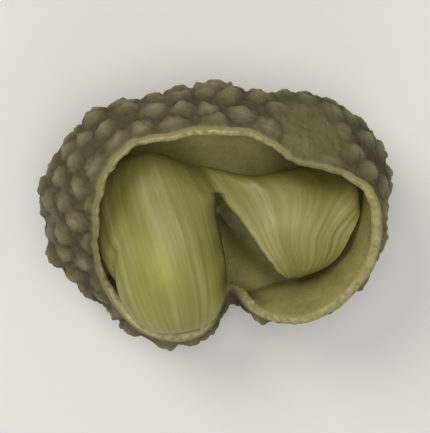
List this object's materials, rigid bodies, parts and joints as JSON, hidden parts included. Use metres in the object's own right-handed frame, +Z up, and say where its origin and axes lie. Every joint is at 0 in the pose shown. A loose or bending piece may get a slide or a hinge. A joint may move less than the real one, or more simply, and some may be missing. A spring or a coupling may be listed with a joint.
{
  "type": "green sichuan peppercorn",
  "caption": "Dried green sichuan peppercorn, split open along its seam: a warty olive husk with its pale parchment lining curled up inside.",
  "frame": {"origin": "on the surface that it rests on, under the middle of its bounding box", "axes": "+Z up, towards the mouth. +X across the two valves, towards the smaller one. The cleft is on the -Y side and the stalk's scar on the +Y side"},
  "size_m": [0.006, 0.0044, 0.0036],
  "materials": {
    "rind": "matt dried rind, olive green, with paler oil glands",
    "parchment": "smooth satin parchment, pale yellow green, with fine lines along it"
  },
  "bodies": {
    "root": {"husk": "rind", "lining": "parchment"}
  },
  "joints": []
}
